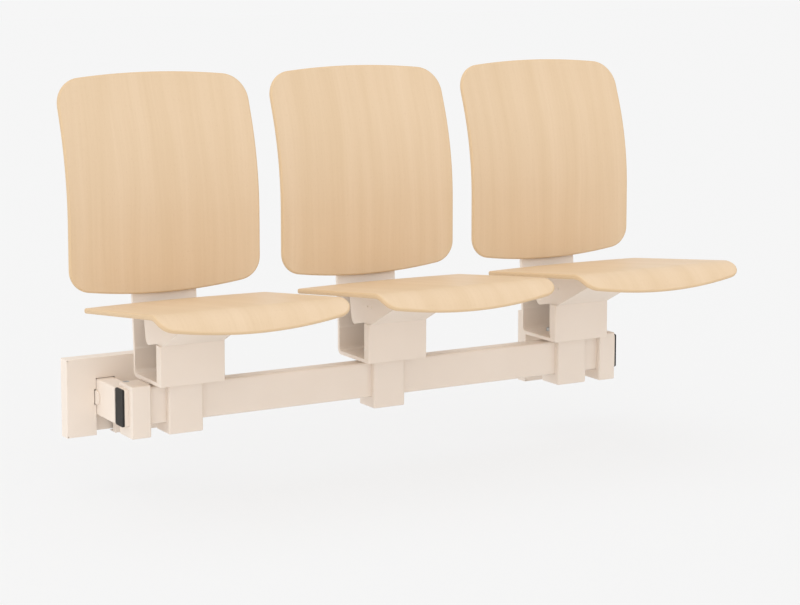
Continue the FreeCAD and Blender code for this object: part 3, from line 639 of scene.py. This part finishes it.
@dataclass
class MouldedBack(MouldedPanel):
    """A back: upright below, leaning back above, and hollowed from side to side."""

    width: float = 445 * MM
    crown: float = 14 * MM
    low_crown: float = 21 * MM
    corner: float = 58 * MM
    low_corner: float = 50 * MM
    upright: float = 159 * MM
    bend_rise: float = 215 * MM
    bend_radius: float = 620 * MM
    hollow: float = 3790 * MM
    height: float = field(init=False)
    lean: float = field(init=False)
    axis: float = field(init=False)

    piece: ClassVar[str] = "moulded_back"
    node: ClassVar[str] = "back_panel"

    def __post_init__(self) -> None:
        """Find the panel's place and side view from its node."""
        low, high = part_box(self.node_name)
        half = self.width / 2
        face_hollow = self.hollow - self.thickness
        self.centre_x = (low.x + high.x) / 2
        self.height = high.z - low.z
        self.lean = math.asin(self.bend_rise / self.bend_radius)
        face = -low.y - face_hollow + math.sqrt(face_hollow**2 - half**2)
        self.axis = face + face_hollow
        radius = self.bend_radius + self.thickness / 2
        start = Vector((face, low.z))
        self.side_view = BentSheet(start, math.pi / 2, -1.0, self.upright, radius, self.lean)

    @property
    def body(self) -> str:
        """Body that the panel rides on."""
        return "frame"

    def outline(self) -> Line:
        """Draw the panel's edge on its face, as distances across and along the sheet.

        Returns:
            The edge's points in order.
        """
        half = self.width / 2
        view = self.side_view
        bent = view.first_run + view.arc
        bent_top = view.at(bent, 0.0).y - view.start.y
        length = bent + (self.height - bent_top) / math.cos(self.lean)
        high = end_curve(half, self.crown, self.corner)
        low = end_curve(half, self.low_crown, self.low_corner)
        top = [(x, length - back / math.cos(self.lean)) for x, back in high]
        return self.closed(top, low)

    def place(self, across: float, along: float, depth: float) -> Vector:
        """Find where a point of the sheet lies in the shared frame.

        Args:
            across: distance from the panel's middle line.
            along: length on the face from its low end.
            depth: distance under the face.

        Returns:
            The point in the shared frame.
        """
        out, rise = self.side_view.at(along, depth)
        radius = self.axis - out
        out += radius - math.sqrt(radius**2 - across**2)
        return Vector((self.centre_x + across, -out, rise))


@dataclass
class MouldedSeat(MouldedPanel):
    """A seat: a flat sheet that climbs to a rolled front edge."""

    width: float = 424 * MM
    rear_bow: float = 30 * MM
    rear_corner: float = 8 * MM
    front_bow: float = 25 * MM
    front_corner: float = 34 * MM
    slope: float = math.radians(6.45)
    flat_depth: float = 374 * MM
    roll: float = 70 * MM
    front_turn: float = math.radians(66.5)

    piece: ClassVar[str] = "moulded_seat"
    node: ClassVar[str] = "seat_panel"

    def __post_init__(self) -> None:
        """Find the panel's place and side view from its node."""
        low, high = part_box(self.node_name)
        self.centre_x = (low.x + high.x) / 2
        climb = self.flat_depth * math.tan(self.slope) + self.roll * (1 - math.cos(self.slope))
        start = Vector((-high.y, high.z - climb))
        flat = self.flat_depth / math.cos(self.slope)
        turn = self.slope + self.front_turn
        self.side_view = BentSheet(start, self.slope, 1.0, flat, self.roll, turn)

    @property
    def body(self) -> str:
        """Body that the panel rides on."""
        return f"{self.seat.value}_seat"

    def outline(self) -> Line:
        """Draw the panel's edge on its face, as distances across and along the sheet.

        Returns:
            The edge's points in order.
        """
        half = self.width / 2
        view = self.side_view
        length = view.first_run + view.arc
        front = end_curve(half, self.front_bow, self.front_corner)
        rear = end_curve(half, self.rear_bow, self.rear_corner)
        # The front edge is cut square to the roll's end, so the cut stretches as it climbs the roll.
        far = [(x, length - self.roll * math.asin(back / self.roll)) for x, back in front]
        near = [(x, back / math.cos(self.slope)) for x, back in rear]
        return self.closed(far, near)

    def place(self, across: float, along: float, depth: float) -> Vector:
        """Find where a point of the sheet lies in the shared frame.

        Args:
            across: distance from the panel's middle line.
            along: length on the face from its low end.
            depth: distance under the face.

        Returns:
            The point in the shared frame.
        """
        out, rise = self.side_view.at(along, depth)
        return Vector((self.centre_x + across, -out, rise))


@dataclass(frozen=True)
class Ring:
    """One ring of a turned piece, at a depth under the head's top.

    A six-sided ring has half the distance between its flats as its radius.
    """

    depth: float
    radius: float
    six_sided: bool = False

    def reach(self, angle: float) -> float:
        """Find the distance from the axis at an angle.

        Args:
            angle: the angle about the axis.

        Returns:
            The distance in metres.
        """
        if not self.six_sided:
            return self.radius
        return self.radius / math.cos((angle + math.pi / 6) % (math.pi / 3) - math.pi / 6)


def loose_parts(piece: bpy.types.Object, weld: float) -> list[list[Vector]]:
    """Split a node's mesh into the points of its separate solids.

    Args:
        piece: the node's object.
        weld: distance under which two points are one.

    Returns:
        The points of each solid.
    """
    grid = bmesh.new()
    grid.from_mesh(piece.data)
    bmesh.ops.remove_doubles(grid, verts=grid.verts[:], dist=weld)
    waiting = set(grid.verts)
    parts = []
    while waiting:
        front = [waiting.pop()]
        part = []
        while front:
            vertex = front.pop()
            part.append(vertex.co.copy())
            beside = {edge.other_vert(vertex) for edge in vertex.link_edges} & waiting
            waiting -= beside
            front.extend(beside)
        parts.append(part)
    grid.free()
    return parts


@dataclass
class Fasteners:
    """A node's group of alike fasteners, each turned where one of the node's solids is."""

    node: str
    body: str
    axis: Vector
    head_radius: float
    shank_radius: float
    # A piece without its own head or socket leaves these at zero.
    head: float = 0.0
    socket_flats: float = 0.0
    socket_depth: float = 0.0
    chamfer: float = 0.6 * MM
    segments: int = 48
    sharp: float = math.radians(32.0)
    weld: float = 0.002 * MM
    lead_flare: float = 1.2
    steep: float = 0.9

    through: ClassVar[bool] = False
    slot: ClassVar[Slot] = Slot.ZINC

    def rings(self, length: float, top: Vector) -> list[Ring]:
        """Draw the piece's rings from its socket round the head to its tip.

        Args:
            length: the whole length.
            top: place of the head's top in the shared frame.

        Returns:
            The rings in order.
        """
        raise NotImplementedError

    def socket(self) -> list[Ring]:
        """Draw the hexagon socket with a small lead-in.

        Returns:
            The rings from the socket's floor to the head's top.
        """
        flats = self.socket_flats / 2
        lead = self.chamfer / 2
        return [
            Ring(self.socket_depth, flats, True),
            Ring(lead, flats, True),
            Ring(0.0, flats * self.lead_flare),
        ]

    def shank(self, length: float) -> list[Ring]:
        """Draw the shank and its chamfered tip.

        Args:
            length: the whole length.

        Returns:
            The rings from under the head to the tip.
        """
        return [
            Ring(self.head, self.shank_radius),
            Ring(length - self.chamfer, self.shank_radius),
            Ring(length, self.shank_radius - self.chamfer),
        ]

    def fit(self, points: list[Vector], axis: Vector) -> tuple[Matrix, float]:
        """Find a solid's head and length.

        Args:
            points: the solid's points.
            axis: a direction along the solid.

        Returns:
            The place of the head's top with the axis as its third direction, and the length.
        """
        upright = abs(axis.z) > self.steep
        guide = Vector((1.0, 0.0, 0.0)) if upright else Vector((0.0, 0.0, 1.0))
        across = (guide - guide.dot(axis) * axis).normalized()
        aside = axis.cross(across)
        spans = []
        for way in (across, aside, axis):
            reach = [point.dot(way) for point in points]
            spans.append((min(reach), max(reach)))
        middles = [(low + high) / 2 for low, high in spans]
        low, high = spans[2]
        top = middles[0] * across + middles[1] * aside + high * axis
        ends = []
        for height in (low, high):
            there = [p - top for p in points if abs(p.dot(axis) - height) < self.chamfer / 2]
            ends.append(max((p - p.dot(axis) * axis).length for p in there))
        # The wider end is the head, so a solid that points the other way is fitted the other way round.
        if ends[0] > ends[1] + self.weld:
            return self.fit(points, -axis)
        turned = Matrix((across, aside, axis)).transposed().to_4x4()
        return Matrix.Translation(top) @ turned, high - low

    def build(self) -> bpy.types.Object:
        """Turn every fastener of the group into one mesh.

        Returns:
            The new piece.
        """
        vertices = []
        faces = []
        count = self.segments
        for points in loose_parts(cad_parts[self.node], self.weld):
            place, length = self.fit(points, self.axis)
            rings = self.rings(length, place.translation)
            first = len(vertices)
            for ring in rings:
                for step in range(count):
                    angle = 2 * math.pi * step / count
                    reach = ring.reach(angle)
                    point = Vector((reach * math.cos(angle), reach * math.sin(angle), -ring.depth))
                    vertices.append(place @ point)
            starts = [first + level * count for level in range(len(rings))]
            pairs = list(zip(starts, starts[1:]))
            if self.through:
                pairs.append((starts[-1], starts[0]))
            else:
                faces.append(tuple(range(first, first + count)))
                faces.append(tuple(range(starts[-1] + count - 1, starts[-1] - 1, -1)))
            for here, there in pairs:
                for step in range(count):
                    beside = (step + 1) % count
                    faces.append((here + step, there + step, there + beside, here + beside))
        mesh = bpy.data.meshes.new(self.node)
        mesh.from_pydata(vertices, [], faces)
        mesh.polygons.foreach_set("use_smooth", [True] * len(faces))
        mesh.set_sharp_from_angle(angle=self.sharp)
        return add_object(f"turned_{self.node}", mesh)

    def dress(self) -> bpy.types.Object:
        """Build the group, give it its finish and hang it on its body.

        Returns:
            The new piece.
        """
        made = self.build()
        made.data.materials.append(FINISHES[self.slot].material())
        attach(made, self.body)
        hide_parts(self.node)
        return made


@dataclass
class CapScrews(Fasteners):
    """Socket screws with a tall round head."""

    rounding: float = 0.3

    def rings(self, length: float, top: Vector) -> list[Ring]:
        """Draw the piece's rings from its socket round the head to its tip.

        Args:
            length: the whole length.
            top: place of the head's top in the shared frame.

        Returns:
            The rings in order.
        """
        head = [
            Ring(0.0, self.head_radius - self.chamfer),
            Ring(self.rounding * self.chamfer, self.head_radius - self.rounding * self.chamfer),
            Ring(self.chamfer, self.head_radius),
            Ring(self.head, self.head_radius),
        ]
        return self.socket() + head + self.shank(length)


@dataclass
class ButtonScrews(Fasteners):
    """Socket screws with a low domed head."""

    dome_steps: int = 7
    flat_share: float = 0.55

    def rings(self, length: float, top: Vector) -> list[Ring]:
        """Draw the piece's rings from its socket round the head to its tip.

        Args:
            length: the whole length.
            top: place of the head's top in the shared frame.

        Returns:
            The rings in order.
        """
        flat = self.flat_share * self.head_radius
        dome = []
        for step in range(self.dome_steps + 1):
            angle = math.pi / 2 * step / self.dome_steps
            radius = flat + (self.head_radius - flat) * math.sin(angle)
            dome.append(Ring(self.head * (1 - math.cos(angle)), radius))
        return self.socket() + dome + self.shank(length)


@dataclass
class StrapScrews(CapScrews):
    """The straps' screws: countersunk ones on top and cap screws below."""

    sunk_radius: float = 8 * MM
    sunk_head: float = 4 * MM

    def rings(self, length: float, top: Vector) -> list[Ring]:
        """Draw the piece's rings from its socket round the head to its tip.

        Args:
            length: the whole length.
            top: place of the head's top in the shared frame.

        Returns:
            The rings in order.
        """
        if top.z < 0:
            return super().rings(length, top)
        land = self.chamfer / 2
        cone = [Ring(0.0, self.sunk_radius - land), Ring(land, self.sunk_radius - land)]
        shank = self.shank(length)
        shank[0] = Ring(self.sunk_head, self.shank_radius)
        return self.socket() + cone + shank


@dataclass
class HexNuts(Fasteners):
    """Six-sided nuts, chamfered on both sides."""

    face_share: float = 0.94

    through: ClassVar[bool] = True

    def rings(self, length: float, top: Vector) -> list[Ring]:
        """Draw one side of the nut from its thread outwards, then the other side back.

        Args:
            length: the whole length.
            top: place of the head's top in the shared frame.

        Returns:
            The rings in order.
        """
        side = [
            Ring(self.chamfer, self.shank_radius),
            Ring(0.0, self.shank_radius + self.chamfer),
            Ring(0.0, self.face_share * self.head_radius),
            Ring(2 * self.chamfer, self.head_radius, True),
        ]
        other = [Ring(length - ring.depth, ring.radius, ring.six_sided) for ring in reversed(side)]
        return side + other


@dataclass
class BlindRivets(Fasteners):
    """Blind rivets: a low dome with a bore on the outside and a squeezed bulb inside."""

    bore_lead: float = 0.1
    bore_flare: float = 1.3
    dome_shares: tuple[float, ...] = (0.7, 0.9, 1.0)

    slot: ClassVar[Slot] = Slot.COAT

    def rings(self, length: float, top: Vector) -> list[Ring]:
        """Draw the outer head from its bore outwards, then the inner one back.

        Args:
            length: the whole length.
            top: place of the head's top in the shared frame.

        Returns:
            The rings in order.
        """
        bore = self.socket_flats / 2
        side = [
            Ring(self.socket_depth, bore),
            Ring(self.bore_lead * self.head, bore),
            Ring(0.0, self.bore_flare * bore),
        ]
        for share in self.dome_shares:
            side.append(Ring(self.head * share**2, self.head_radius * share))
        side.append(Ring(self.head, self.shank_radius))
        other = [Ring(length - ring.depth, ring.radius) for ring in reversed(side)]
        return side + other


@dataclass
class Studio:
    """Floor, light and camera."""

    floor_height: float = -200 * MM
    floor_size: float = 60.0
    white: str = "#F6F6F6"
    floor_light: float = 1.1
    shadow_share: float = 0.15
    sky: float = 0.88
    sky_lean: float = 0.58
    sky_from: Vector = Vector((-0.8, -0.6, 0.05))
    overhead: float = 0.18
    overhead_angle: float = math.radians(70.0)
    sensor: float = 36.0
    lens: float = 92.498
    camera_place: Vector = Vector((-2.2683, -4.1379, 0.9567))
    camera_yaw: float = math.radians(30.172)
    camera_pitch: float = math.radians(6.405)
    camera_shift: float = -0.15

    def seen(self, tree: Tree) -> Socket:
        """Add a value that is 1 for what the camera, a reflection or a refraction sees.

        Args:
            tree: the node tree that gets the value.

        Returns:
            The value's socket.
        """
        path = add_node(tree, "ShaderNodeLightPath")
        direct = add_node(
            tree,
            "ShaderNodeMath",
            {"operation": "MAXIMUM"},
            {0: path.outputs["Is Camera Ray"], 1: path.outputs["Is Glossy Ray"]},
        )
        return add_node(
            tree,
            "ShaderNodeMath",
            {"operation": "MAXIMUM"},
            {0: direct.outputs[0], 1: path.outputs["Is Transmission Ray"]},
        ).outputs[0]

    def floor(self) -> None:
        """Lay the pale floor, which keeps a faint shadow."""
        half = self.floor_size / 2
        corners = [(x * half, y * half, self.floor_height) for x, y in ((-1, -1), (1, -1), (1, 1), (-1, 1))]
        mesh = bpy.data.meshes.new("studio_floor")
        mesh.from_pydata(corners, [], [(0, 1, 2, 3)])
        material = bpy.data.materials.new("studio_floor_paper")
        material.use_nodes = True
        tree = material.node_tree
        tree.nodes.clear()
        white = linear(self.white)
        thin = tuple(self.shadow_share / self.floor_light * value for value in white[:3]) + (1.0,)
        paper = add_node(tree, "ShaderNodeBsdfDiffuse", {"Color": white})
        shade = add_node(tree, "ShaderNodeBsdfDiffuse", {"Color": thin})
        glow = add_node(tree, "ShaderNodeEmission", {"Color": white, "Strength": 1 - self.shadow_share})
        lit = add_node(tree, "ShaderNodeAddShader", links={0: shade.outputs[0], 1: glow.outputs[0]})
        both = add_node(
            tree,
            "ShaderNodeMixShader",
            links={0: self.seen(tree), 1: paper.outputs[0], 2: lit.outputs[0]},
        )
        add_node(tree, "ShaderNodeOutputMaterial", links={"Surface": both.outputs[0]})
        mesh.materials.append(material)
        add_object("studio_floor", mesh)

    def world(self) -> None:
        """Light the scene from all round, more from the left and front, before a plain white."""
        world = bpy.data.worlds.new("studio")
        world.use_nodes = True
        bpy.context.scene.world = world
        tree = world.node_tree
        tree.nodes.clear()
        direction = add_node(tree, "ShaderNodeTexCoord").outputs["Generated"]
        toward = add_node(
            tree,
            "ShaderNodeVectorMath",
            {"operation": "DOT_PRODUCT", 1: self.sky_from.normalized()},
            {0: direction},
        ).outputs["Value"]
        strength = add_node(
            tree,
            "ShaderNodeMapRange",
            {
                "From Min": -1.0,
                "To Min": self.sky - self.sky_lean,
                "To Max": self.sky + self.sky_lean,
            },
            {"Value": toward},
        ).outputs[0]
        soft = add_node(
            tree,
            "ShaderNodeBackground",
            {"Color": (1.0, 1.0, 1.0, 1.0)},
            {"Strength": strength},
        )
        plain = add_node(tree, "ShaderNodeBackground", {"Color": linear(self.white)})
        both = add_node(
            tree,
            "ShaderNodeMixShader",
            links={0: self.seen(tree), 1: soft.outputs[0], 2: plain.outputs[0]},
        )
        add_node(tree, "ShaderNodeOutputWorld", links={"Surface": both.outputs[0]})

    def lamp(self) -> None:
        """Hang a broad soft lamp straight overhead."""
        light = bpy.data.lights.new("overhead_lamp", "SUN")
        light.energy = self.overhead * math.pi
        light.angle = self.overhead_angle
        bpy.context.scene.collection.objects.link(bpy.data.objects.new("overhead_lamp", light))

    def camera(self) -> None:
        """Set the camera at the photograph's viewing angle."""
        data = bpy.data.cameras.new("camera")
        data.sensor_fit = "HORIZONTAL"
        data.sensor_width = self.sensor
        data.lens = self.lens
        data.shift_y = self.camera_shift
        made = bpy.data.objects.new("camera", data)
        made.location = self.camera_place
        made.rotation_euler = (math.pi / 2 - self.camera_pitch, 0.0, -self.camera_yaw)
        bpy.context.scene.collection.objects.link(made)
        bpy.context.scene.camera = made

    def build(self) -> None:
        """Build the whole studio."""
        bpy.context.scene.view_settings.view_transform = "Standard"
        self.floor()
        self.world()
        self.lamp()
        self.camera()


@dataclass
class PlainParts:
    """Parts that keep their construction shape: each gets its finish, and coated steel gets soft edges."""

    edge: float = 0.7 * MM
    edge_steps: int = 2
    edge_angle: float = math.radians(35.0)
    flat_angle: float = math.radians(0.2)
    weld: float = 0.002 * MM

    def soften(self, piece: bpy.types.Object) -> None:
        """Round a node's sharp edges a little, as a coat of powder does.

        Args:
            piece: the node's object.
        """
        weld = piece.modifiers.new("joined_faces", "WELD")
        weld.merge_threshold = self.weld
        plain = piece.modifiers.new("whole_faces", "DECIMATE")
        plain.decimate_type = "DISSOLVE"
        plain.angle_limit = self.flat_angle
        bevel = piece.modifiers.new("soft_edges", "BEVEL")
        bevel.width = self.edge
        bevel.segments = self.edge_steps
        bevel.limit_method = "ANGLE"
        bevel.angle_limit = self.edge_angle
        bevel.use_clamp_overlap = True
        bevel.harden_normals = True

    def dress(self, piece: bpy.types.Object) -> Slot:
        """Give a node the finish of its slot.

        Args:
            piece: the node's object.

        Returns:
            The node's slot.
        """
        slot = Slot(piece.material_slots[0].material.name)
        piece.material_slots[0].material = FINISHES[slot].material()
        if slot is Slot.COAT:
            self.soften(piece)
        return slot


def fasteners() -> list[Fasteners]:
    """List the groups of fasteners with their sizes.

    Returns:
        Every group whose heads are turned anew.
    """
    up = Vector((0.0, 0.0, 1.0))
    out = Vector((0.0, 1.0, 0.0))
    side = Vector((1.0, 0.0, 0.0))
    slope = MouldedSeat.slope
    under_seat = Vector((0.0, -math.sin(slope), -math.cos(slope)))
    cap_m8 = {"head_radius": 6.5 * MM, "shank_radius": 4 * MM, "head": 8 * MM}
    button_m6 = {
        "head_radius": 5.5 * MM,
        "shank_radius": 3 * MM,
        "head": 3.3 * MM,
        "socket_flats": 4 * MM,
        "socket_depth": 2.2 * MM,
    }
    groups: list[Fasteners] = [
        CapScrews("clamp_bolts", "frame", up, **cap_m8, socket_flats=6 * MM, socket_depth=4 * MM),
        StrapScrews("strap_bolts", "frame", up, **cap_m8, socket_flats=5 * MM, socket_depth=3 * MM),
        CapScrews(
            "hinge_bolts",
            "frame",
            side,
            head_radius=9 * MM,
            shank_radius=5 * MM,
            head=6 * MM,
            socket_flats=6 * MM,
            socket_depth=3.5 * MM,
        ),
        ButtonScrews("back_screws", "frame", out, **button_m6),
        ButtonScrews(
            "cover_screws",
            "frame",
            -up,
            head_radius=3.8 * MM,
            shank_radius=2 * MM,
            head=2.4 * MM,
            socket_flats=2.5 * MM,
            socket_depth=1.5 * MM,
            chamfer=0.4 * MM,
        ),
        HexNuts("arm_cross_nuts", "frame", side, head_radius=8.5 * MM, shank_radius=5.02 * MM),
    ]
    for seat in Seat:
        body = f"{seat.value}_seat"
        groups.append(ButtonScrews(f"seat_screws_{seat.value}", body, under_seat, **button_m6))
        rivets = BlindRivets(
            f"carrier_rivets_{seat.value}",
            body,
            side,
            head_radius=3.2 * MM,
            shank_radius=2 * MM,
            head=1.2 * MM,
            socket_flats=2.6 * MM,
            socket_depth=2.6 * MM,
        )
        groups.append(rivets)
    return groups


def main() -> None:
    """Build the pieces in order and report each one."""
    logging.basicConfig(level=logging.INFO, format="%(message)s")
    Studio().build()
    for seat in Seat:
        for panel in (MouldedBack(seat), MouldedSeat(seat)):
            made = panel.dress()
            LOG.info("%s rides on %s", made.name, panel.body)
    for group in fasteners():
        LOG.info("%s rides on %s", group.dress().name, group.body)
    parts = PlainParts()
    for name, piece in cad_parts.items():
        if not piece.hide_render:
            LOG.info("%s has %s", name, parts.dress(piece).value)


if __name__ == "__main__":
    main()
